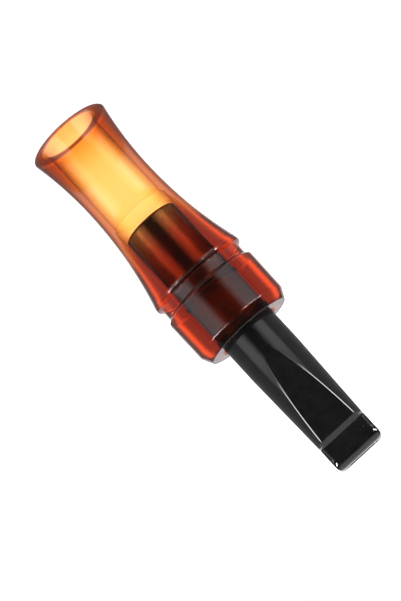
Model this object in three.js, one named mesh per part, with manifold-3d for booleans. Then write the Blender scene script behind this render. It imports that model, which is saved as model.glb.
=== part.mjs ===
// A closed-reed game call: a see-through bell barrel, a black bite mouthpiece that slides into it
// on two seal rings, and a reed unit pushed into the mouthpiece's inner end.
//
// Units are millimetres. The call stands on the rim of its bell: the rim lies in the plane Z = 0,
// the axis is Z, and the mouthpiece points up. The flats of the mouthpiece face -Y and +Y.

import * as THREE from "three";
import { mergeVertices } from "three/addons/utils/BufferGeometryUtils.js";
import Module from "manifold-3d";

const wasm = await Module();
wasm.setup();

// ---- Driving dimensions ----------------------------------------------------------------------

const BARREL = {
  rimRadius: 12.84,
  rimFillet: 0.9,
  waistRadius: 10.8,
  waistZ: 22.1,
  flareRadius: 14.98,
  flareZ: 53.6,
  lipRadius: 15.12,
  lipZ: 54.5,
  lipEndZ: 55.2,
  grooveRadius: 13.9,
  grooveStartZ: 56.0,
  grooveEndZ: 59.2,
  bandRadius: 15.0,
  bandStartZ: 60.3,
  bandEndZ: 72.6,
  bandEndRadius: 14.83,
  endFaceRadius: 13.25,
  endFaceZ: 75.8,
  endEdge: 0.25,
  bellBoreRadius: 8.4,
  mouthRadius: 8.9,
  mouthDepth: 2.0,
  socketRadius: 9.0,
  shoulderZ: 30.5,
  shoulderSlope: 0.3,
  socketChamfer: 0.45,
};

const MOUTHPIECE = {
  innerEndZ: 34.7,
  endChamfer: 0.35,
  shankRadius: 8.55,
  taperZ: 86.0,
  tipRadius: 7.6,
  tipZ: 121.3,
  rampStartZ: 84.5,
  rampEndZ: 111.9,
  rampEndHeight: 5.15,
  padStartZ: 113.8,
  padEndZ: 117.3,
  padHeight: 6.3,
  padHalfWidth: 7.7,
  padCorner: 1.3,
  tipCorner: 1.6,
  tipHeight: 3.9,
  boreRadius: 6.6,
  chamberEndZ: 86.0,
  slotRadius: 5.8,
  slotHalfHeight: 1.5,
  slotStartZ: 112.0,
};

const SEAL = { tubeRadius: 0.65, grooveClearance: 0.25, boreClearance: 0.2 };
const SEAL_Z = { rear_seal_ring: 60.3, front_seal_ring: 73.2 };

const REED_UNIT = {
  baseRadius: 6.3,
  baseStartZ: 35.2,
  baseEndZ: 42.0,
  boardRadius: 6.0,
  boardEndZ: 72.0,
  boardCurveZ: 54.0,
  boardDrop: 0.4,
  airBoreRadius: 1.65,
  troughHalfWidth: 1.7,
  troughDepth: 3.4,
  troughEndZ: 69.0,
  sealZ: 38.6,
  sealTube: 0.5,
};

const REED = { thickness: 0.3, halfWidth: 4.6, tipZ: 70.6, tipCorner: 1.6 };
const WEDGE = { radius: 6.0, startZ: 42.3, endZ: 50.0 };

const GAP = 0.3;
const TURN_SEGMENTS = 60;
const RING_SEGMENTS = 48;
const RING_TUBE_SEGMENTS = 10;

// ---- Colours and finishes --------------------------------------------------------------------

const MATERIALS = {
  amberAcrylic: { color: 0xd8641c, roughness: 0.08, metalness: 0, transparent: true, opacity: 0.7 },
  blackPlastic: { color: 0x1b1b1c, roughness: 0.25, metalness: 0 },
  blackRubber: { color: 0x141414, roughness: 0.7, metalness: 0 },
  ivoryPlastic: { color: 0xd9d2bd, roughness: 0.45, metalness: 0 },
  clearFilm: { color: 0xe6e9e6, roughness: 0.15, metalness: 0 },
  cork: { color: 0xb98a5a, roughness: 0.85, metalness: 0 },
};

// ---- Geometry helpers ------------------------------------------------------------------------

const AXES = {
  x: new THREE.Vector3(1, 0, 0),
  y: new THREE.Vector3(0, 1, 0),
  z: new THREE.Vector3(0, 0, 1),
};

// The solid inside a closed geometry, with its shared vertices merged.
function solidOf(geometry) {
  const bare = new THREE.BufferGeometry();
  bare.setAttribute("position", geometry.getAttribute("position").clone());
  if (geometry.index) bare.setIndex(geometry.index.clone());
  const merged = mergeVertices(bare, 1e-4);
  return new wasm.Manifold(
    new wasm.Mesh({
      numProp: 3,
      vertProperties: new Float32Array(merged.attributes.position.array),
      triVerts: new Uint32Array(merged.index.array),
    }),
  );
}

function geometryOf(solid) {
  const mesh = solid.getMesh();
  const geometry = new THREE.BufferGeometry();
  const positions = new Float32Array(mesh.numVert * 3);
  for (let i = 0; i < mesh.numVert; i++) {
    const start = i * mesh.numProp;
    positions.set(mesh.vertProperties.subarray(start, start + 3), i * 3);
  }
  geometry.setAttribute("position", new THREE.BufferAttribute(positions, 3));
  geometry.setIndex(new THREE.BufferAttribute(new Uint32Array(mesh.triVerts), 1));
  geometry.computeVertexNormals();
  return geometry;
}

// A body turned about Z from [radius, z] points.
function turned(points, segments = TURN_SEGMENTS) {
  const profile = points.map(([radius, z]) => new THREE.Vector2(radius, z));
  return new THREE.LatheGeometry(profile, segments).rotateX(Math.PI / 2);
}

// Points of a circular arc of [radius, z] pairs about a centre, from one angle to another.
function arc(centreRadius, centreZ, size, fromDegrees, toDegrees, steps) {
  return Array.from({ length: steps + 1 }, (_, i) => {
    const angle = THREE.MathUtils.degToRad(fromDegrees + ((toDegrees - fromDegrees) * i) / steps);
    return [centreRadius + size * Math.cos(angle), centreZ + size * Math.sin(angle)];
  });
}

// A closed outline of [a, b] points, extruded by width and centred on its own plane.
// alongA, alongB and outOf are the world directions of a, b and the extrusion.
function extruded(outline, width, alongA, alongB, outOf) {
  const shape = new THREE.Shape(outline.map(([a, b]) => new THREE.Vector2(a, b)));
  const geometry = new THREE.ExtrudeGeometry(shape, { depth: width, bevelEnabled: false });
  geometry.translate(0, 0, -width / 2);
  return geometry.applyMatrix4(new THREE.Matrix4().makeBasis(alongA, alongB, outOf));
}

// An outline of [y, z] points, extruded along X.
function sideways(outline, width) {
  return extruded(outline, width, AXES.y, AXES.z, AXES.x);
}

// An outline of [x, z] points, extruded along Y.
function facing(outline, width) {
  return extruded(outline, width, AXES.x, AXES.z, AXES.y.clone().negate());
}

// An outline of [x, y] points, extruded along Z from one height to another.
function upright(outline, fromZ, toZ) {
  const body = extruded(outline, toZ - fromZ, AXES.x, AXES.y, AXES.z);
  return body.translate(0, 0, (fromZ + toZ) / 2);
}

// The right half of an outline, and the same points mirrored, so that it closes.
function mirrored(half) {
  return [...half, ...half.map(([a, b]) => [-a, b]).reverse()];
}

function box(size, centre) {
  return new THREE.BoxGeometry(...size).translate(...centre);
}

function ring(middleRadius, tubeRadius, z) {
  const section = arc(middleRadius, z, tubeRadius, 0, 360, RING_TUBE_SEGMENTS);
  section[section.length - 1] = section[0];
  return turned(section, RING_SEGMENTS);
}

function part(name, geometry, material) {
  const mesh = new THREE.Mesh(geometry, new THREE.MeshStandardMaterial(material));
  mesh.name = name;
  return mesh;
}

// ---- Barrel ----------------------------------------------------------------------------------

// The hollow of the barrel's side is one circle each way from the waist. This gives its points from
// the waist to an end, the end included.
function hollowSide(endRadius, endZ, steps) {
  const { waistRadius, waistZ } = BARREL;
  const rise = endRadius - waistRadius;
  const run = endZ - waistZ;
  const circle = (run * run + rise * rise) / (2 * rise);
  return Array.from({ length: steps + 1 }, (_, i) => {
    const along = (run * i) / steps;
    return [waistRadius + circle - Math.sqrt(circle * circle - along * along), waistZ + along];
  });
}

function barrel() {
  const b = BARREL;
  const rimSide = hollowSide(b.rimRadius, b.rimFillet, 8).reverse();
  const flareSide = hollowSide(b.flareRadius, b.flareZ, 12).slice(1);
  const rimCorner = arc(b.rimRadius - b.rimFillet, b.rimFillet, b.rimFillet, -90, 0, 4).slice(0, -1);
  const outside = [
    ...rimCorner,
    ...rimSide,
    ...flareSide,
    [b.lipRadius, b.lipZ],
    [b.lipRadius - 0.07, b.lipEndZ],
    [b.grooveRadius, b.grooveStartZ],
    [b.grooveRadius, b.grooveEndZ],
    [b.bandRadius - 0.15, b.bandStartZ - 0.35],
    [b.bandRadius, b.bandStartZ],
    [b.bandEndRadius, b.bandEndZ],
    [b.endFaceRadius, b.endFaceZ - b.endEdge],
    [b.endFaceRadius - b.endEdge, b.endFaceZ],
  ];
  const inside = [
    [b.socketRadius + b.socketChamfer, b.endFaceZ],
    [b.socketRadius, b.endFaceZ - b.socketChamfer],
    [b.socketRadius, b.shoulderZ],
    [b.bellBoreRadius, b.shoulderZ - b.shoulderSlope],
    [b.bellBoreRadius, b.mouthDepth],
    [b.mouthRadius, 0],
  ];
  return turned([...outside, ...inside, outside[0]]);
}

// ---- Mouthpiece ------------------------------------------------------------------------------

function sealGroove(outerRadius, floorRadius, z, width) {
  const outside = outerRadius + 1;
  const half = width / 2;
  const corners = [
    [floorRadius, z - half],
    [outside, z - half],
    [outside, z + half],
    [floorRadius, z + half],
  ];
  return turned([...corners, corners[0]]);
}

// The blade seen from the side: a round shank that two straight ramps flatten towards the pad.
function bladeOutline() {
  const m = MOUTHPIECE;
  const clear = m.shankRadius + 1;
  return mirrored([
    [clear, m.innerEndZ - 1],
    [clear, m.rampStartZ - 1],
    [m.shankRadius, m.rampStartZ],
    [m.rampEndHeight, m.rampEndZ],
  ]);
}

// The raised pad at the tip, which the teeth hold, with every edge rounded or sloped.
function padSolid() {
  const m = MOUTHPIECE;
  const round = (a, b, size, from, to) => arc(a, b, size, from, to, 4);
  const section = mirrored([
    ...round(m.padHalfWidth - m.padCorner, -m.padHeight + m.padCorner, m.padCorner, -90, 0),
    ...round(m.padHalfWidth - m.padCorner, m.padHeight - m.padCorner, m.padCorner, 0, 90),
  ]);
  const side = mirrored([
    [m.rampEndHeight - 0.3, m.rampEndZ - 1.2],
    [m.rampEndHeight, m.rampEndZ],
    [m.padHeight - 0.2, m.padStartZ - 0.5],
    [m.padHeight, m.padStartZ],
    [m.padHeight, m.padEndZ],
    [m.padHeight - 0.3, m.padEndZ + 1.2],
    [m.tipHeight + 0.8, m.tipZ - 0.5],
    [m.tipHeight, m.tipZ],
  ]);
  const wide = m.padHalfWidth + 1;
  const front = mirrored([
    [m.tipRadius - 0.6, m.rampEndZ - 1.2],
    [m.padHalfWidth + 0.05, m.padStartZ - 0.8],
    ...round(m.padHalfWidth - m.tipCorner, m.tipZ - m.tipCorner, m.tipCorner, 0, 90),
  ]);
  return solidOf(upright(section, m.rampEndZ - 1.2, m.tipZ))
    .intersect(solidOf(sideways(side, 2 * wide)))
    .intersect(solidOf(facing(front, 2 * wide)));
}

// The air passage: a round bore from the inner end, flattened by two ramps into a wide thin slot.
function airPassage() {
  const m = MOUTHPIECE;
  const round = turned([
    [0, m.innerEndZ - 1],
    [m.boreRadius, m.innerEndZ - 1],
    [m.boreRadius, m.chamberEndZ],
    [m.slotRadius, m.slotStartZ],
    [m.slotRadius, m.tipZ + 1],
    [0, m.tipZ + 1],
  ]);
  const flattened = mirrored([
    [m.boreRadius + 1, m.innerEndZ - 2],
    [m.boreRadius + 1, m.chamberEndZ - 2],
    [m.boreRadius - 1, m.chamberEndZ + 2],
    [m.slotHalfHeight, m.slotStartZ],
    [m.slotHalfHeight, m.tipZ + 2],
  ]);
  return solidOf(round).intersect(solidOf(sideways(flattened, 2 * m.boreRadius + 2)));
}

function mouthpiece() {
  const m = MOUTHPIECE;
  const blank = turned([
    [0, m.innerEndZ],
    [m.shankRadius - m.endChamfer, m.innerEndZ],
    [m.shankRadius, m.innerEndZ + m.endChamfer],
    [m.shankRadius, m.taperZ],
    [m.tipRadius, m.tipZ - m.tipCorner],
    [m.tipRadius - m.tipCorner, m.tipZ],
    [0, m.tipZ],
  ]);
  let body = solidOf(blank).intersect(solidOf(sideways(bladeOutline(), 4 * m.shankRadius)));
  body = body.add(padSolid());
  const { middleRadius } = sealPlace();
  const grooveFloor = middleRadius - SEAL.tubeRadius - SEAL.grooveClearance;
  const grooveWidth = 2 * (SEAL.tubeRadius + SEAL.grooveClearance);
  for (const z of Object.values(SEAL_Z)) {
    body = body.subtract(solidOf(sealGroove(m.shankRadius, grooveFloor, z, grooveWidth)));
  }
  return geometryOf(body.subtract(airPassage()));
}

// A seal ring reaches almost to the wall of the barrel's socket.
function sealPlace() {
  const outerRadius = BARREL.socketRadius - SEAL.boreClearance;
  return { middleRadius: outerRadius - SEAL.tubeRadius };
}

// ---- Reed unit -------------------------------------------------------------------------------

// The tone board: a round base with an air bore, and a half-round board whose flat faces -Y.
// The flat falls away a little towards its end, so that the reed can beat against it.
function toneBoard() {
  const r = REED_UNIT;
  const base = turned([
    [0, r.baseStartZ],
    [r.baseRadius - GAP, r.baseStartZ],
    [r.baseRadius, r.baseStartZ + GAP],
    [r.baseRadius, r.baseEndZ],
    [0, r.baseEndZ],
  ]);
  const board = turned([
    [0, r.baseEndZ - 1],
    [r.boardRadius, r.baseEndZ - 1],
    [r.boardRadius, r.boardEndZ - 1],
    [r.boardRadius - 1, r.boardEndZ],
    [0, r.boardEndZ],
  ]);
  const underFlat = [
    [0, r.baseEndZ - 2],
    [0, r.boardCurveZ],
    [r.boardDrop / 4, (r.boardCurveZ + r.boardEndZ) / 2],
    [r.boardDrop, r.boardEndZ + 1],
    [r.baseRadius + 1, r.boardEndZ + 1],
    [r.baseRadius + 1, r.baseEndZ - 2],
  ];
  const airBore = turned(
    [
      [0, r.baseStartZ - 1],
      [r.airBoreRadius, r.baseStartZ - 1],
      [r.airBoreRadius, r.baseEndZ + 1],
      [0, r.baseEndZ + 1],
    ],
    24,
  ).translate(0, r.troughDepth / 2, 0);
  const troughLength = r.troughEndZ - r.baseEndZ;
  const trough = box(
    [2 * r.troughHalfWidth, 2 * r.troughDepth, troughLength],
    [0, 0, r.baseEndZ + troughLength / 2],
  );
  const grooveFloor = unitSealRadius() - r.sealTube - SEAL.grooveClearance;
  const grooveWidth = 2 * (r.sealTube + SEAL.grooveClearance);
  const halfRound = solidOf(board).intersect(solidOf(sideways(underFlat, 4 * r.baseRadius)));
  const body = solidOf(base)
    .add(halfRound)
    .subtract(solidOf(airBore))
    .subtract(solidOf(trough))
    .subtract(solidOf(sealGroove(r.baseRadius, grooveFloor, r.sealZ, grooveWidth)));
  return geometryOf(body);
}

function unitSealRadius() {
  return MOUTHPIECE.boreRadius - SEAL.boreClearance - REED_UNIT.sealTube;
}

// The reed: a thin strip just above the flat, with round corners at its free end.
function reed() {
  const outline = mirrored([
    [REED.halfWidth, WEDGE.startZ],
    ...arc(REED.halfWidth - REED.tipCorner, REED.tipZ - REED.tipCorner, REED.tipCorner, 0, 90, 5),
  ]);
  return facing(outline, REED.thickness).translate(0, -GAP - REED.thickness / 2, 0);
}

// The wedge: a half-round block that clamps the root of the reed against the board.
function reedWedge() {
  const blank = turned([
    [0, WEDGE.startZ],
    [WEDGE.radius, WEDGE.startZ],
    [WEDGE.radius, WEDGE.endZ],
    [0, WEDGE.endZ],
  ]);
  const underside = 2 * GAP + REED.thickness;
  const overReed = [
    [-WEDGE.radius - 1, WEDGE.startZ - 1],
    [-underside, WEDGE.startZ - 1],
    [-underside, WEDGE.endZ - 1.5],
    [-underside - 0.5, WEDGE.endZ + 1],
    [-WEDGE.radius - 1, WEDGE.endZ + 1],
  ];
  return geometryOf(solidOf(blank).intersect(solidOf(sideways(overReed, 4 * WEDGE.radius))));
}

// ---- Assembly --------------------------------------------------------------------------------

const reedUnit = new THREE.Group();
reedUnit.add(
  part("tone_board", toneBoard(), MATERIALS.ivoryPlastic),
  part("reed", reed(), MATERIALS.clearFilm),
  part("reed_wedge", reedWedge(), MATERIALS.cork),
  part(
    "tone_board_seal_ring",
    ring(unitSealRadius(), REED_UNIT.sealTube, REED_UNIT.sealZ),
    MATERIALS.blackRubber,
  ),
);

const mouthEnd = new THREE.Group();
mouthEnd.add(part("mouthpiece", mouthpiece(), MATERIALS.blackPlastic), reedUnit);
for (const [name, z] of Object.entries(SEAL_Z)) {
  const seal = ring(sealPlace().middleRadius, SEAL.tubeRadius, z);
  mouthEnd.add(part(name, seal, MATERIALS.blackRubber));
}

const call = new THREE.Group();
call.name = "game_call";
call.add(part("barrel", barrel(), MATERIALS.amberAcrylic), mouthEnd);

export default call;
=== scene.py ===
# A closed-reed game call: a see-through amber barrel, a black bite mouthpiece and the reed unit inside.
# The call stands on its bell's rim, the axis is Z, and the mouthpiece's flats face -Y and +Y.
# The outlines below are in millimetres, the design's own unit. Blender's objects are in metres.

import math

import bpy
from mathutils import Matrix, Vector


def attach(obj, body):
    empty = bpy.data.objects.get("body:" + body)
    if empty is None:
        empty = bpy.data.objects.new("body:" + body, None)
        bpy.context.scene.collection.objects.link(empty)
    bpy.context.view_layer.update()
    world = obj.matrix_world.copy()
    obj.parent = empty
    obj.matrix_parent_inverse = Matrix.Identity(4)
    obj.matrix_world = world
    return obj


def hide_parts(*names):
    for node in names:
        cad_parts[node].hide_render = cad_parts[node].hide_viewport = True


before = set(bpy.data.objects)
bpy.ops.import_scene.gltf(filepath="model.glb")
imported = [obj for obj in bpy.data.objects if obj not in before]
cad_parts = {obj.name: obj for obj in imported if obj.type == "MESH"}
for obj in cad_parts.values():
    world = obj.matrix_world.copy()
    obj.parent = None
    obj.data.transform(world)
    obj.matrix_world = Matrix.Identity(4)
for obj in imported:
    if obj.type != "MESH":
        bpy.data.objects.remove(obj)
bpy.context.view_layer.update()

MM = 0.001

# ---- Camera ----------------------------------------------------------------------------------------
# The camera looks a little down on the call from the mouthpiece's end. It is rolled, so that the call
# lies across the picture from its bell, upper left, to its tip, lower right.

CAMERA_BACK = 541 * MM
CAMERA_HEIGHT = 164.7 * MM
AIM_HEIGHT = 61.7 * MM
AIM_RIGHT = 3.97 * MM
AIM_UP = 1.78 * MM
AXIS_SLOPE = math.radians(47.37)
LENS = 120.3
SENSOR = 36.0
CLIP_START, CLIP_END = 0.01, 100.0


def make_camera():
    data = bpy.data.cameras.new("camera")
    data.sensor_width = SENSOR
    data.lens = LENS
    data.clip_start, data.clip_end = CLIP_START, CLIP_END
    camera = bpy.data.objects.new("camera", data)
    bpy.context.scene.collection.objects.link(camera)
    place = Vector((0, -CAMERA_BACK, CAMERA_HEIGHT))
    target = Vector((0, 0, AIM_HEIGHT))
    ahead = (target - place).normalized()
    along = (Vector((0, 0, 1)) - ahead * ahead.z).normalized()
    across = along.cross(ahead)
    right = math.cos(AXIS_SLOPE) * along + math.sin(AXIS_SLOPE) * across
    up = -math.sin(AXIS_SLOPE) * along + math.cos(AXIS_SLOPE) * across
    ahead = (target - right * AIM_RIGHT - up * AIM_UP - place).normalized()
    right = ahead.cross(up).normalized()
    up = right.cross(ahead)
    turn = Matrix((right, up, -ahead)).transposed()
    camera.matrix_world = Matrix.Translation(place) @ turn.to_4x4()
    bpy.context.scene.camera = camera


make_camera()

# ---- Meshes ----------------------------------------------------------------------------------------


def mesh_object(name, vertices, faces, materials):
    """A smooth-shaded object from vertices in millimetres."""
    mesh = bpy.data.meshes.new(name)
    mesh.from_pydata([tuple(c * MM for c in v) for v in vertices], [], faces)
    mesh.update()
    mesh.shade_smooth()
    for material in materials:
        mesh.materials.append(material)
    made = bpy.data.objects.new(name, mesh)
    bpy.context.scene.collection.objects.link(made)
    return made


def closed_loft(name, rings, materials):
    """A closed skin through rings of equally many points, the last ring joined to the first."""
    count = len(rings[0])
    vertices = [point for ring in rings for point in ring]
    faces = []
    for i in range(len(rings)):
        here, there = i * count, (i + 1) % len(rings) * count
        for j in range(count):
            k = (j + 1) % count
            faces.append((here + j, here + k, there + k, there + j))
    return mesh_object(name, vertices, faces, materials)


def turned(name, profile, segments, materials):
    """A closed [(radius, z)] profile turned about Z. It runs up the outside and down the inside."""
    turns = [2 * math.pi * i / segments for i in range(segments)]
    rings = [[(r * math.cos(a), r * math.sin(a), z) for a in turns] for r, z in profile]
    return closed_loft(name, rings, materials)


def rounded(corners, steps=5):
    """A closed outline of (a, b, fillet radius) corners, with each corner turned into an arc. An arc
    takes up a little less than half of the sides next to it."""
    outline = []
    for i, (a, b, radius) in enumerate(corners):
        here = Vector((a, b))
        before = Vector(corners[i - 1][:2]) - here
        after = Vector(corners[(i + 1) % len(corners)][:2]) - here
        if radius == 0:
            outline.append((a, b))
            continue
        half = before.angle(after) / 2
        room = 0.49 * min(before.length, after.length)
        reach = min(radius / math.tan(half), room)
        centre = here + (before.normalized() + after.normalized()).normalized() * reach / math.cos(half)
        start, end = here + before.normalized() * reach, here + after.normalized() * reach
        first, last = start - centre, end - centre
        sweep = -first.angle_signed(last)
        for k in range(steps + 1):
            turn = Matrix.Rotation(sweep * k / steps, 2)
            outline.append(tuple(centre + turn @ first))
    return outline


def held(outline, reach=0.15):
    """Adds a point near each end of the long straight runs, so that smooth shading leaves them flat."""
    points = []
    for i, (a, b) in enumerate(outline):
        points.append((a, b))
        c, d = outline[(i + 1) % len(outline)]
        run = math.hypot(c - a, d - b)
        if run > 4 * reach:
            for share in (reach / run, 1 - reach / run):
                points.append((a + (c - a) * share, b + (d - b) * share))
    return points


def stepped(low, high, steps):
    """Evenly spaced numbers from low to high."""
    return [low + (high - low) * i / steps for i in range(steps + 1)]


# ---- Barrel ----------------------------------------------------------------------------------------

BARREL_SEGMENTS = 192
RIM_STEPS, RIM_SIDE_STEPS, FLARE_STEPS = 8, 28, 44
WAIST_RADIUS, WAIST_Z = 10.8, 22.1
RIM_RADIUS, RIM_FILLET = 12.84, 0.9
FLARE_RADIUS, FLARE_Z = 14.98, 53.6
LIP_RADIUS, LIP_TAPER, LIP_Z, LIP_END_Z = 15.12, 0.05, 54.5, 55.2
GROOVE_RADIUS, GROOVE_START_Z, GROOVE_END_Z = 13.9, 56.0, 59.2
BAND_RADIUS, BAND_START_Z = 15.0, 60.1
BAND_END_RADIUS, BAND_END_Z = 14.83, 72.6
END_FACE_RADIUS, END_FACE_Z = 13.2, 75.8
BELL_BORE, MOUTH_RADIUS, MOUTH_DEPTH = 8.4, 8.9, 2.0
SOCKET_BORE, SHOULDER_Z, SHOULDER_SLOPE = 9.0, 30.5, 0.3
SOCKET_CHAMFER = 0.45


def hollow_side(end_radius, end_z, steps):
    """The circle from the waist to one end of the hollow side, as (radius, z) points."""
    rise, run = end_radius - WAIST_RADIUS, end_z - WAIST_Z
    circle = (run * run + rise * rise) / (2 * rise)
    points = []
    for along in stepped(0, run, steps):
        points.append((WAIST_RADIUS + circle - math.sqrt(circle**2 - along**2), WAIST_Z + along))
    return points


def barrel_profile():
    """The barrel's closed (radius, z) outline, from the bell's rim up the outside and down the bores."""
    rim_arc = [math.radians(a) for a in stepped(-90, 0, RIM_STEPS)]
    rim = [
        (RIM_RADIUS - RIM_FILLET + RIM_FILLET * math.cos(a), RIM_FILLET + RIM_FILLET * math.sin(a))
        for a in rim_arc
    ]
    # Each corner is its radius, its z and its fillet.
    corners = [
        (LIP_RADIUS, LIP_Z, 0.5),
        (LIP_RADIUS - LIP_TAPER, LIP_END_Z, 0.65),
        (GROOVE_RADIUS, GROOVE_START_Z, 0.25),
        (GROOVE_RADIUS, GROOVE_END_Z, 0.25),
        (BAND_RADIUS, BAND_START_Z, 0.35),
        (BAND_END_RADIUS, BAND_END_Z, 0.9),
        (END_FACE_RADIUS, END_FACE_Z, 0.3),
        (SOCKET_BORE + SOCKET_CHAMFER, END_FACE_Z, 0.1),
        (SOCKET_BORE, END_FACE_Z - SOCKET_CHAMFER, 0.1),
        (SOCKET_BORE, SHOULDER_Z, 0.1),
        (BELL_BORE, SHOULDER_Z - SHOULDER_SLOPE, 0.12),
        (BELL_BORE, MOUTH_DEPTH, 1.5),
        (MOUTH_RADIUS, 0, 0.15),
    ]
    rim_side = hollow_side(RIM_RADIUS, RIM_FILLET, RIM_SIDE_STEPS)[1:-1][::-1]
    flare_side = hollow_side(FLARE_RADIUS, FLARE_Z, FLARE_STEPS)
    closing = rounded([(*flare_side[-1], 0), *corners, (*rim[0], 0)])[1:-1]
    return held([*rim, *rim_side, *flare_side, *closing])


def make_barrel(materials):
    barrel = turned("amber_barrel", barrel_profile(), BARREL_SEGMENTS, materials)
    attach(barrel, "barrel")
    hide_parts("barrel")


# ---- Mouthpiece ------------------------------------------------------------------------------------
# Every section is drawn by one routine, so that the skin runs in one set of rings: up the outside
# from the inner end, over the tip and back down the air passage.

FLAT_STEPS, FILLET_STEPS, SIDE_STEPS = 20, 6, 22
BLADE_STEPS, PAD_RISE_STEPS, PAD_STEPS, NOSE_STEPS = 44, 9, 6, 14
SLOT_EDGE_STEPS, PASSAGE_STEPS, SHANK_FILLET_STEPS = 4, 36, 4

SHANK_RADIUS, INNER_END_Z, INNER_END_FILLET = 8.55, 34.7, 0.8
TAPER_Z, TIP_RADIUS, TIP_Z = 86.0, 7.6, 121.3
RAMP_START_Z, RAMP_END_Z, RAMP_END_HEIGHT = 84.5, 111.9, 5.15
SHANK_END_Z, BLADE_START_Z = RAMP_START_Z - 1.5, RAMP_START_Z - 1.0
CREASE_FILLET, CREASE_SOFT, CREASE_SHARP_Z = 0.45, 3.2, 100.0
LEAST_FLAT = 0.1
PAD_START_Z, PAD_END_Z = 113.8, 117.3
PAD_HEIGHT, PAD_HALF_WIDTH, PAD_FILLET = 6.3, 7.7, 1.3
TIP_CORNER, TIP_HEIGHT = 1.6, 3.9
BORE_RADIUS, BORE_RINGS_Z, CHAMBER_END_Z = 6.6, (80.0, 60.0, 45.0), 86.0
BORE_FILLET, CHAMBER_FILLET, CHAMBER_FILLET_SHARE = 0.25, 1.2, 0.7
PASSAGE_END_Z, CHAMBER_BLEND_Z = CHAMBER_END_Z - 1.0, CHAMBER_END_Z + 10.0
SLOT_HALF_WIDTH, SLOT_HALF_HEIGHT, SLOT_START_Z = 5.6, 1.5, 112.0
SLOT_EDGE, SLOT_FLAT, SLOT_CLEARANCE, SLOT_DEPTH = 0.3, 0.05, 0.2, 2.0
SLOT_MARGIN = 0.01
POLISHED_Z, FITTED_Z = 53.2, 75.5
BURNISHED_Z, BURNISHED_RISE = 92.0, 7.0
PLAIN, POLISHED, MATT, BURNISHED = range(4)
RING_SEATS = (60.3, 73.2)
SEAT_WIDTH, SEAT_RADIUS = 1.8, 7.25
SEAT_EDGE_FILLET, SEAT_FLOOR_FILLET = 0.12, 0.15


def whole(half):
    """The whole section from one half of it. The other half is the same, turned by half a turn."""
    return half + [(-x, -y) for x, y in half]


def section(flat_half, corner, corner_radius, side_angle, side_at):
    """A section as (x, y) points, half of which are a flat, a fillet, a side and a fillet. side_at gives
    the side's points, from 1 at its upper end to -1 at its lower one."""
    cx, cy = corner
    points = [(x, cy + corner_radius) for x in stepped(-flat_half, flat_half, FLAT_STEPS)[:-1]]
    for angle in stepped(math.pi / 2, side_angle, FILLET_STEPS)[:-1]:
        points.append((cx + corner_radius * math.cos(angle), cy + corner_radius * math.sin(angle)))
    points += [side_at(t) for t in stepped(1, -1, SIDE_STEPS)[:-1]]
    for angle in stepped(-side_angle, -math.pi / 2, FILLET_STEPS)[:-1]:
        points.append((cx + corner_radius * math.cos(angle), -cy + corner_radius * math.sin(angle)))
    return whole(points)


def milled_round(radius, height, fillet):
    """A circle with two flats at height from its centre. With no flats, it is the whole circle."""
    flat_height = min(height, radius - LEAST_FLAT)
    cy = flat_height - fillet
    cx = math.sqrt(max((radius - fillet) ** 2 - cy**2, 0))
    side = math.atan2(cy, cx)
    points = section(
        cx,
        (cx, cy),
        fillet,
        side,
        lambda t: (radius * math.cos(side * t), radius * math.sin(side * t)),
    )
    if height > flat_height:
        reach = [min(radius / math.hypot(x, y), height / max(abs(y), 1e-6)) for x, y in points]
        points = [(x * r, y * r) for (x, y), r in zip(points, reach)]
    return points


def rounded_box(half_width, half_height, fillet):
    """A rectangle with rounded corners, as a section."""
    cx, cy = half_width - fillet, half_height - fillet
    return section(cx, (cx, cy), fillet, 0.0, lambda t: (half_width, cy * t))


def between(a, b, share):
    """The section that lies a share of the way from a to b."""
    return [(x0 + (x1 - x0) * share, y0 + (y1 - y0) * share) for (x0, y0), (x1, y1) in zip(a, b)]


def ramp(low, high, value):
    """0 up to low, 1 from high on, and a straight line between them."""
    return min(max((value - low) / (high - low), 0), 1)


def smooth(low, high, value):
    """The same, starting and ending softly."""
    t = ramp(low, high, value)
    return t * t * (3 - 2 * t)


def blank_radius(z):
    return SHANK_RADIUS + (TIP_RADIUS - SHANK_RADIUS) * ramp(TAPER_Z, TIP_Z, z)


def ramp_height(z):
    return SHANK_RADIUS + (RAMP_END_HEIGHT - SHANK_RADIUS) * ramp(RAMP_START_Z, RAMP_END_Z, z)


def pad_half_height(z):
    if z <= PAD_END_Z:
        return RAMP_END_HEIGHT + (PAD_HEIGHT - RAMP_END_HEIGHT) * ramp(RAMP_END_Z, PAD_START_Z, z)
    across = (z - PAD_END_Z) / (TIP_Z - PAD_END_Z)
    return TIP_HEIGHT + (PAD_HEIGHT - TIP_HEIGHT) * math.sqrt(max(1 - across * across, 0))


def pad_half_width(z):
    over = max(z - (TIP_Z - TIP_CORNER), 0)
    return PAD_HALF_WIDTH - TIP_CORNER + math.sqrt(max(TIP_CORNER**2 - over**2, 0))


def crease_fillet(z):
    """The crease is soft where the ramp starts, and sharpens along it."""
    return CREASE_FILLET + CREASE_SOFT * (1 - smooth(RAMP_START_Z, CREASE_SHARP_Z, z))


def outer_section(z):
    """The blade, milled flat on two sides, which turns into the pad's rounded box."""
    blade = milled_round(blank_radius(z), ramp_height(z), crease_fillet(z))
    if z <= RAMP_END_Z:
        return blade
    pad = rounded_box(pad_half_width(z), pad_half_height(z), PAD_FILLET)
    blade = milled_round(blank_radius(z), pad_half_height(z), crease_fillet(z))
    return between(blade, pad, smooth(RAMP_END_Z, PAD_START_Z, z))


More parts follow.
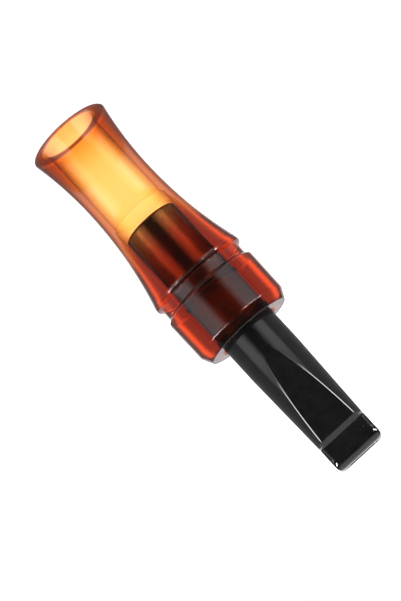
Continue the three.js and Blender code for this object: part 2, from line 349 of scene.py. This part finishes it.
def passage_section(z):
    """The air passage: a round bore, then a chamber that flattens into the slot."""
    share = ramp(CHAMBER_END_Z, SLOT_START_Z, z)
    radius = BORE_RADIUS + (SLOT_HALF_WIDTH + SLOT_CLEARANCE - BORE_RADIUS) * share
    height = BORE_RADIUS + (SLOT_HALF_HEIGHT - BORE_RADIUS) * share
    fillet = min(CHAMBER_FILLET, CHAMBER_FILLET_SHARE * height)
    round_part = milled_round(radius, max(height, SLOT_HALF_HEIGHT + SLOT_MARGIN), fillet)
    slot = rounded_box(SLOT_HALF_WIDTH, SLOT_HALF_HEIGHT, SLOT_HALF_HEIGHT - SLOT_FLAT)
    return between(round_part, slot, smooth(CHAMBER_BLEND_Z, SLOT_START_Z, z))


def round_section(radius):
    """A section with no flats."""
    return milled_round(radius, radius + 1, CREASE_FILLET)


def shank_stations():
    """(radius, z) of the round shank, with its rounded inner end and the two seats of the seal rings."""
    corners = [(SHANK_RADIUS, INNER_END_Z, INNER_END_FILLET), (SHANK_RADIUS, POLISHED_Z, 0)]
    for seat in RING_SEATS:
        for side in (-1, 1):
            edge = seat + side * SEAT_WIDTH / 2
            pair = [(SHANK_RADIUS, edge, SEAT_EDGE_FILLET), (SEAT_RADIUS, edge, SEAT_FLOOR_FILLET)]
            corners += pair if side < 0 else pair[::-1]
    corners += [(SHANK_RADIUS, FITTED_Z, 0), (SHANK_RADIUS, SHANK_END_Z, 0)]
    corners += [(BORE_RADIUS, SHANK_END_Z, 0), (BORE_RADIUS, INNER_END_Z, BORE_FILLET)]
    outline = held(rounded(corners, SHANK_FILLET_STEPS))
    outside_end = outline.index((SHANK_RADIUS, SHANK_END_Z)) + 1
    inside_start = outline.index((BORE_RADIUS, SHANK_END_Z)) + 1
    return outline[:outside_end], outline[inside_start:]


def is_crease(column):
    """Whether a column of faces lies on one of the fillets between the flats and the round sides."""
    side = FLAT_STEPS + FILLET_STEPS
    return FLAT_STEPS <= column < side or column >= side + SIDE_STEPS


def finish(z, on_crease):
    """The number of the finish: polished at the inner end, matt where the shank fits the socket, and
    burnished along the creases."""
    if z < POLISHED_Z:
        return POLISHED
    if z < FITTED_Z:
        return MATT
    return BURNISHED if on_crease and BURNISHED_Z < z < RAMP_END_Z else PLAIN


def make_mouthpiece(materials):
    """The mouthpiece, with its materials in the order of the finishes' numbers."""
    outside, inner_edge = shank_stations()
    rings = [(round_section(radius), z) for radius, z in outside]
    blade = stepped(BLADE_START_Z, RAMP_END_Z, BLADE_STEPS)
    pad = stepped(RAMP_END_Z, PAD_START_Z, PAD_RISE_STEPS)[1:]
    pad += stepped(PAD_START_Z, PAD_END_Z, PAD_STEPS)[1:]
    nose_turns = stepped(0, math.pi / 2, NOSE_STEPS)[1:]
    nose = [PAD_END_Z + (TIP_Z - PAD_END_Z) * math.sin(a) for a in nose_turns]
    rings += [(outer_section(z), z) for z in blade + pad + nose]
    for angle in stepped(0, math.pi / 2, SLOT_EDGE_STEPS):
        grown = SLOT_EDGE * (1 - math.sin(angle))
        half_width, half_height = SLOT_HALF_WIDTH + grown, SLOT_HALF_HEIGHT + grown
        edge = rounded_box(half_width, half_height, half_height - SLOT_FLAT)
        rings.append((edge, TIP_Z - SLOT_EDGE * (1 - math.cos(angle))))
    passage = stepped(TIP_Z - SLOT_DEPTH, PASSAGE_END_Z, PASSAGE_STEPS)
    rings += [(passage_section(z), z) for z in passage]
    rings += [(round_section(BORE_RADIUS), z) for z in BORE_RINGS_Z]
    rings += [(round_section(radius), z) for radius, z in inner_edge]
    solid = [[(x, y, z) for x, y in points] for points, z in rings]
    mouthpiece = closed_loft("bite_mouthpiece", solid, materials)
    count, outer_rings = len(solid[0]), len(outside) + len(blade)
    # The faces run ring by ring, and the two halves of a ring are alike.
    for i, face in enumerate(mouthpiece.data.polygons):
        on_crease = i // count < outer_rings and is_crease(i % count % (count // 2))
        face.material_index = finish(face.center.z / MM, on_crease)
    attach(mouthpiece, "mouthpiece")
    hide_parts("mouthpiece")


# ---- Seals and reed unit ---------------------------------------------------------------------------

BOARD_SEAT_RADIUS, BOARD_SEAT_Z = 5.15, 38.6
SHANK_SEAL_WIDTH, BOARD_SEAL_WIDTH = 1.5, 1.2
SEAL_SEGMENTS, SEAL_FILLET_STEPS, SEAL_FILLET_SHARE = 128, 6, 0.45
SEAL_GAP = 0.03
WELD_REACH = 0.001
FLAT_ANGLE, SHARP_ANGLE = math.radians(1), math.radians(25)
BEVEL_SEGMENTS = 3


def make_seal(name, body, floor, wall, z, width, material):
    """A rubber ring squeezed between the floor of its seat and the wall of the bore."""
    inner, outer, half = floor + SEAL_GAP, wall - SEAL_GAP, width / 2
    corners = [(outer, z - half), (outer, z + half), (inner, z + half), (inner, z - half)]
    profile = rounded([(r, at, SEAL_FILLET_SHARE * width) for r, at in corners], SEAL_FILLET_STEPS)
    seal = turned(name + "_squeezed", profile, SEAL_SEGMENTS, [material])
    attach(seal, body)
    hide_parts(name)


def make_refined(name, body, edge, material):
    """A fine copy of a CAD piece: its flat faces whole again, and its sharp edges rounded over."""
    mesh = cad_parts[name].data.copy()
    mesh.materials.clear()
    mesh.materials.append(material)
    piece = bpy.data.objects.new(name + "_rounded", mesh)
    bpy.context.scene.collection.objects.link(piece)
    joined = piece.modifiers.new("joined", "WELD")
    joined.merge_threshold = WELD_REACH * MM
    flat = piece.modifiers.new("flat", "DECIMATE")
    flat.decimate_type = "DISSOLVE"
    flat.angle_limit = FLAT_ANGLE
    soft = piece.modifiers.new("soft", "BEVEL")
    soft.width, soft.segments = edge * MM, BEVEL_SEGMENTS
    soft.limit_method, soft.angle_limit = "ANGLE", SHARP_ANGLE
    soft.harden_normals = True
    cut = piece.modifiers.new("cut", "TRIANGULATE")
    cut.keep_custom_normals = True
    mesh.shade_smooth()
    view = bpy.context.evaluated_depsgraph_get()
    piece.data = bpy.data.meshes.new_from_object(piece.evaluated_get(view))
    piece.modifiers.clear()
    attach(piece, body)
    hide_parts(name)


# ---- Shader helpers --------------------------------------------------------------------------------


def node(tree, kind, **inputs):
    """A new node with plain input values, named with a _ for each space."""
    made = tree.nodes.new(kind)
    for name, value in inputs.items():
        made.inputs[name.replace("_", " ")].default_value = value
    return made


def principled(name, **plain):
    """A material with one Principled shader and its plain socket values, named in the same way."""
    material = bpy.data.materials.new(name)
    material.use_nodes = True
    shader = material.node_tree.nodes["Principled BSDF"]
    for socket, value in plain.items():
        shader.inputs[socket.replace("_", " ")].default_value = value
    return material, material.node_tree, shader


def noise(tree, scale, detail=4.0):
    """Noise in object space. scale is in features per metre."""
    where = node(tree, "ShaderNodeTexCoord")
    texture = node(tree, "ShaderNodeTexNoise", Scale=scale, Detail=detail)
    tree.links.new(where.outputs["Object"], texture.inputs["Vector"])
    return texture.outputs["Fac"]


def axes(tree, space="Object"):
    """The X, Y and Z of a place, in metres on an object or as a direction in the sky ("Generated")."""
    place = node(tree, "ShaderNodeSeparateXYZ")
    tree.links.new(node(tree, "ShaderNodeTexCoord").outputs[space], place.inputs["Vector"])
    return [place.outputs[axis] for axis in "XYZ"]


def spread(tree, value, low, high, from_low=0.35, from_high=0.65):
    """Goes from low to high as a value goes from from_low to from_high, by default a noise's range."""
    made = node(tree, "ShaderNodeMapRange", From_Min=from_low, From_Max=from_high, To_Min=low, To_Max=high)
    tree.links.new(value, made.inputs["Value"])
    return made.outputs["Result"]


def blend(tree, share, first, second):
    """A colour between two, by a value. The first one is plain or another node's."""
    mix = node(tree, "ShaderNodeMix")
    mix.data_type = "RGBA"
    if isinstance(first, tuple):
        mix.inputs[6].default_value = (*first, 1)
    else:
        tree.links.new(first, mix.inputs[6])
    mix.inputs[7].default_value = (*second, 1)
    tree.links.new(share, mix.inputs["Factor"])
    return mix.outputs[2]


def maths(tree, operation, a, b=None):
    """A sum, product or other function of values, each of them a number or a socket."""
    made = node(tree, "ShaderNodeMath")
    made.operation = operation
    for socket, value in zip(made.inputs, (a, b)):
        if isinstance(value, (int, float)):
            socket.default_value = value
        elif value is not None:
            tree.links.new(value, socket)
    return made.outputs["Value"]


def product(tree, *values):
    """The product of two or more values, as in maths."""
    result = values[0]
    for value in values[1:]:
        result = maths(tree, "MULTIPLY", result, value)
    return result


def window(tree, value, low, high, edge):
    """1 between low and high, falling smoothly to 0 over an edge at each end."""
    rise = spread(tree, value, 0, 1, low - edge / 2, low + edge / 2)
    fall = spread(tree, value, 1, 0, high - edge / 2, high + edge / 2)
    return product(tree, rise, fall)


def bump(tree, height, strength, distance):
    """The normals of a fine relief, which only the shading shows."""
    made = node(tree, "ShaderNodeBump", Strength=strength, Distance=distance)
    tree.links.new(height, made.inputs["Height"])
    return made.outputs["Normal"]


# ---- Materials -------------------------------------------------------------------------------------

AMBER_DENSITY = 480.0
AMBER_LOSS = (30.0, 120.0, 330.0)  # red, green and blue, per metre
# Each noise's scale and detail.
AMBER_CLOUDS, AMBER_POLISH, AMBER_WAVES = (60, 2), (900, 6), (250, 2)
AMBER_RELIEF, AMBER_RELIEF_DEPTH = 0.015, 0.2 * MM
# The radii at which the bores give way to the outside, and how much of its tints the bores take.
OUTSIDE_START, OUTSIDE_FULL, BORE_SHARE = 9.3, 10.0, 0.3
# The heights between which each tint or painted shade comes in or fades.
MOUTH_FADE, NEAR_MOUTH_FADE = (1.0, 9.0), (6.0, 22.0)
THICK_RISE, DEEP_RISE, END_FACE_RISE = (33.0, 44.0), (46.0, 58.0), (75.0, 75.6)
# The flanks' painted shade comes in over these heights. It lies between two limits of how far the surface
# is turned away, which are further round in the flare than in the band.
FLANK_RISE, FLANK_START, FLANK_END, FLANK_EDGE = (31.0, 38.0), 0.17, 0.425, 0.1
FLANK_SHIFT, FLANK_SHIFT_FADE = 0.1, (36.0, 56.0)


def amber_acrylic():
    """Clear amber that is yellow in a thin wall and deepens to red with thickness. Its outside has painted
    shade where it turns away from the eye and along its edges, and its end face is painted near black."""
    material, tree, shader = principled(
        "amber_acrylic",
        IOR=1.004,
        Transmission_Weight=1.0,
        Coat_Roughness=0.03,
        Coat_IOR=1.49,
    )
    x, y, height = axes(tree)
    across = maths(tree, "ADD", maths(tree, "POWER", x, 2), maths(tree, "POWER", y, 2))
    radius = maths(tree, "SQRT", across)
    facing = node(tree, "ShaderNodeLayerWeight", Blend=0.5).outputs["Facing"]

    def by_height(low, high, ends):
        return spread(tree, height, low, high, ends[0] * MM, ends[1] * MM)

    # How far the surface turns away from the eye, which sets the painted shade on the amber's sides and
    # edges.
    def turned_away_shade(start, full):
        return spread(tree, facing, 0, 1, start, full)

    outside = spread(tree, radius, BORE_SHARE, 1, OUTSIDE_START * MM, OUTSIDE_FULL * MM)
    near_mouth = by_height(1, 0, NEAR_MOUTH_FADE)
    thick = by_height(0, 1, THICK_RISE)
    thin = maths(tree, "SUBTRACT", 1, thick)
    end_face = by_height(0, 1, END_FACE_RISE)
    # The painted shade on the flanks lies between two limits of how far the surface turns away.
    turn = maths(tree, "SUBTRACT", facing, by_height(FLANK_SHIFT, 0, FLANK_SHIFT_FADE))
    flank_shade = window(tree, turn, FLANK_START, FLANK_END, FLANK_EDGE)
    tints_and_shade = [
        # The mouth's wall, tinted deeper towards the rim, and painted shade on the bell's outside where it
        # turns away near the mouth.
        (by_height(1, 0, MOUTH_FADE), (1.0, 0.68, 0.42)),
        (product(tree, turned_away_shade(0.15, 0.42), near_mouth, outside), (0.42, 0.2, 0.2)),
        # The red of the band, then that of the whole thick outside.
        (by_height(0, 1, DEEP_RISE), (0.8, 0.68, 0.9)),
        (product(tree, thick, outside), (1.0, 0.29, 0.55)),
        # Painted shade on the flanks of the flare and the band, then on the bell's.
        (product(tree, flank_shade, by_height(0, 1, FLANK_RISE), outside), (0.27, 0.09, 0.2)),
        (product(tree, turned_away_shade(0.2, 0.6), thin, outside), (0.38, 0.16, 0.12)),
        # Painted shade: dark lines along the edges of the mouth, the bell and the band.
        (product(tree, turned_away_shade(0.42, 0.65), near_mouth, outside), (0.12, 0.03, 0.05)),
        (product(tree, turned_away_shade(0.62, 0.82), thin, outside), (0.1, 0.03, 0.04)),
        (product(tree, turned_away_shade(0.5, 0.62), thick, outside), (0.1, 0.03, 0.04)),
        # The end face, painted near black as shade, so that the polish is all that shows.
        (end_face, (0.02, 0.02, 0.02)),
    ]
    cloud = spread(tree, noise(tree, *AMBER_CLOUDS), 0, 1)
    colour = blend(tree, cloud, (1.0, 0.87, 0.72), (1.0, 0.89, 0.77))
    for share, tint in tints_and_shade:
        colour = blend(tree, share, colour, tint)
    tree.links.new(colour, shader.inputs["Base Color"])
    tree.links.new(maths(tree, "MAXIMUM", outside, end_face), shader.inputs["Coat Weight"])
    tree.links.new(spread(tree, noise(tree, *AMBER_POLISH), 0.0, 0.05), shader.inputs["Roughness"])
    relief = bump(tree, noise(tree, *AMBER_WAVES), AMBER_RELIEF, AMBER_RELIEF_DEPTH)
    tree.links.new(relief, shader.inputs["Coat Normal"])
    depth = node(tree, "ShaderNodeVolumeAbsorption", Density=AMBER_DENSITY)
    depth.inputs["Color"].default_value = (*(1 - loss / AMBER_DENSITY for loss in AMBER_LOSS), 1)
    tree.links.new(depth.outputs["Volume"], tree.nodes["Material Output"].inputs["Volume"])
    return material


PLASTIC_IOR, POLISHED_IOR, BURNISHED_IOR = 1.5, 2.5, 4.0
PLASTIC_ROUGH, POLISHED_ROUGH, MATT_ROUGH = (0.08, 0.13), (0.14, 0.19), (0.4, 0.5)
PLASTIC_GRAIN, PLASTIC_POLISH, PLASTIC_WAVES = (400, 5), (1500, 6), (500, 2)
PLASTIC_RELIEF, PLASTIC_RELIEF_DEPTH = 0.015, 0.05 * MM


def black_plastic(name, rough, **shine):
    """Moulded black plastic. rough is its range of roughness."""
    material, tree, shader = principled(name, **shine)
    grain = spread(tree, noise(tree, *PLASTIC_GRAIN), 0, 1)
    colour = blend(tree, grain, (0.0035, 0.0035, 0.0037), (0.0065, 0.0065, 0.0065))
    tree.links.new(colour, shader.inputs["Base Color"])
    tree.links.new(spread(tree, noise(tree, *PLASTIC_POLISH), *rough), shader.inputs["Roughness"])
    relief = bump(tree, noise(tree, *PLASTIC_WAVES), PLASTIC_RELIEF, PLASTIC_RELIEF_DEPTH)
    tree.links.new(relief, shader.inputs["Normal"])
    return material


def burnished_plastic():
    """The same plastic with a hard shine, which comes up gradually along the creases."""
    material = black_plastic(
        "black_plastic_burnished",
        PLASTIC_ROUGH,
        IOR=PLASTIC_IOR,
        Coat_Roughness=0.12,
        Coat_IOR=BURNISHED_IOR,
    )
    tree = material.node_tree
    height = axes(tree)[2]
    shine = spread(tree, height, 0, 1, BURNISHED_Z * MM, (BURNISHED_Z + BURNISHED_RISE) * MM)
    tree.links.new(shine, tree.nodes["Principled BSDF"].inputs["Coat Weight"])
    return material


DULL_RELIEF_DEPTH = 0.2 * MM


def plain_finish(name, first, second, rough, scale, relief, **shine):
    """A plain finish: two near colours in patches, uneven roughness and a fine relief. scale is the
    patches', and relief is its strength."""
    material, tree, shader = principled(name, **shine)
    patches = spread(tree, noise(tree, scale), 0, 1)
    tree.links.new(blend(tree, patches, first, second), shader.inputs["Base Color"])
    tree.links.new(spread(tree, noise(tree, scale * 3), *rough), shader.inputs["Roughness"])
    tree.links.new(bump(tree, noise(tree, scale * 5), relief, DULL_RELIEF_DEPTH), shader.inputs["Normal"])
    return material


# ---- Stage -----------------------------------------------------------------------------------------

FLOOR_SIZE = 6000.0
FLOOR_GAP = 0.02
FLOOR_GLOW = 1.0


def make_floor():
    """A pale, softly glowing table. Reflections don't see it: they see the studio's lamps below it."""
    half = FLOOR_SIZE / 2
    corners = [(-half, -half, 0), (half, -half, 0), (half, half, 0), (-half, half, 0)]
    material, tree, shader = principled(
        "pale_floor",
        Roughness=0.9,
        Specular_IOR_Level=0.0,
        Emission_Color=(1, 1, 1, 1),
        Emission_Strength=FLOOR_GLOW,
    )
    shade = spread(tree, noise(tree, 2), 0, 1)
    tree.links.new(blend(tree, shade, (0.93, 0.93, 0.93), (0.95, 0.95, 0.95)), shader.inputs["Base Color"])
    clear = node(tree, "ShaderNodeBsdfTransparent")
    either = node(tree, "ShaderNodeMixShader")
    depth = node(tree, "ShaderNodeLightPath").outputs["Glossy Depth"]
    tree.links.new(maths(tree, "MINIMUM", depth, 1), either.inputs["Fac"])
    tree.links.new(shader.outputs["BSDF"], either.inputs[1])
    tree.links.new(clear.outputs["BSDF"], either.inputs[2])
    tree.links.new(either.outputs["Shader"], tree.nodes["Material Output"].inputs["Surface"])
    floor = mesh_object("floor", corners, [(0, 1, 2, 3)], [material])
    floor.location.z = -FLOOR_GAP * MM


# What glossy surfaces see, with angles in degrees. A lamp is a soft-edged patch of the sky, mirrored left
# and right. Its numbers are the nearest and furthest azimuth from the camera's side and the width of
# those edges, the lowest and highest elevation and the width of those edges, and its brightness.
SURROUND = 0.07
LAMPS = [
    (29, 68, 16, -20, -4.3, 2, 1.42),
    (24, 84, 8, -2, 5, 3, 3.0),
    (24, 76, 4, 21.6, 26.2, 0.8, 100.0),
    (76, 142, 8, -60, 60, 8, 0.28),
    (46, 72, 14, -20, -11.8, 1, 1.7),
    (72, 126, 14, -20, -11.8, 1, 0.9),
    (150, 190, 8, -60, 60, 8, 0.9),
]
LAMP_COLOUR = (1.0, 0.975, 1.01)
# The light from straight above and below, and the elevations over which each comes in.
OVERHEAD, OVERHEAD_RISE = 1.4, (45, 60)
UNDERNEATH, UNDERNEATH_RISE = 1.1, (-48, -58)
EVEN_LIGHT = 1.0  # what dull surfaces get from all round


def make_world():
    """White where it is seen directly or through the amber. Glossy surfaces see a dim studio with soft
    lamps, and dull surfaces are lit evenly from all round."""
    world = bpy.data.worlds.new("studio")
    bpy.context.scene.world = world
    world.use_nodes = True
    tree = world.node_tree
    tree.nodes.clear()
    out = node(tree, "ShaderNodeOutputWorld")
    x, y, z = axes(tree, "Generated")
    turn = maths(tree, "ARCTAN2", x, maths(tree, "MULTIPLY", y, -1))
    azimuth = maths(tree, "MULTIPLY", maths(tree, "ABSOLUTE", turn), math.degrees(1))
    elevation = maths(tree, "MULTIPLY", maths(tree, "ARCSINE", z), math.degrees(1))
    light = SURROUND
    for near, far, side_edge, low, high, edge, level in LAMPS:
        around = window(tree, azimuth, near, far, side_edge)
        upward = window(tree, elevation, low, high, edge)
        light = maths(tree, "ADD", product(tree, around, upward, level), light)
    light = maths(tree, "ADD", light, spread(tree, elevation, 0, OVERHEAD, *OVERHEAD_RISE))
    light = maths(tree, "ADD", light, spread(tree, elevation, 0, UNDERNEATH, *UNDERNEATH_RISE))
    path = node(tree, "ShaderNodeLightPath")
    bounced = maths(tree, "ADD", path.outputs["Glossy Depth"], path.outputs["Diffuse Depth"])
    reflected = maths(tree, "MINIMUM", bounced, 1)
    studio = product(tree, light, reflected)
    seen_white = maths(tree, "SUBTRACT", 1, reflected)
    even = node(tree, "ShaderNodeMix")
    even.inputs[3].default_value = EVEN_LIGHT
    tree.links.new(path.outputs["Is Diffuse Ray"], even.inputs["Factor"])
    tree.links.new(maths(tree, "ADD", studio, seen_white), even.inputs[2])
    background = node(tree, "ShaderNodeBackground")
    in_gloss = maths(tree, "MINIMUM", path.outputs["Glossy Depth"], 1)
    tree.links.new(blend(tree, in_gloss, (1, 1, 1), LAMP_COLOUR), background.inputs["Color"])
    tree.links.new(even.outputs[0], background.inputs["Strength"])
    tree.links.new(background.outputs["Background"], out.inputs["Surface"])


make_floor()
make_world()
bpy.context.scene.view_settings.view_transform = "Standard"

make_barrel([amber_acrylic()])
make_mouthpiece(
    [
        black_plastic("black_plastic", PLASTIC_ROUGH, IOR=PLASTIC_IOR),
        black_plastic("black_plastic_polished", POLISHED_ROUGH, IOR=POLISHED_IOR),
        black_plastic("black_plastic_matt", MATT_ROUGH, IOR=PLASTIC_IOR),
        burnished_plastic(),
    ]
)

rubber = plain_finish(
    "black_rubber",
    (0.012, 0.012, 0.012),
    (0.02, 0.02, 0.02),
    rough=(0.45, 0.65),
    scale=700,
    relief=0.2,
    Specular_IOR_Level=0.1,
)
ivory = plain_finish(
    "ivory_plastic",
    (0.60, 0.54, 0.41),
    (0.68, 0.62, 0.49),
    rough=(0.3, 0.5),
    scale=300,
    relief=0.15,
)
film = plain_finish(
    "reed_film",
    (0.62, 0.65, 0.62),
    (0.7, 0.72, 0.7),
    rough=(0.1, 0.2),
    scale=500,
    relief=0.05,
)
cork = plain_finish(
    "cork",
    (0.34, 0.19, 0.09),
    (0.55, 0.36, 0.2),
    rough=(0.75, 0.95),
    scale=900,
    relief=0.6,
)

for name, seat in zip(("rear_seal_ring", "front_seal_ring"), RING_SEATS):
    make_seal(name, "seal_rings", SEAT_RADIUS, SOCKET_BORE, seat, SHANK_SEAL_WIDTH, rubber)
make_seal(
    "tone_board_seal_ring",
    "reed_unit",
    BOARD_SEAT_RADIUS,
    BORE_RADIUS,
    BOARD_SEAT_Z,
    BOARD_SEAL_WIDTH,
    rubber,
)
make_refined("tone_board", "reed_unit", edge=0.12, material=ivory)
make_refined("reed_wedge", "reed_unit", edge=0.35, material=cork)
make_refined("reed", "reed", edge=0.06, material=film)
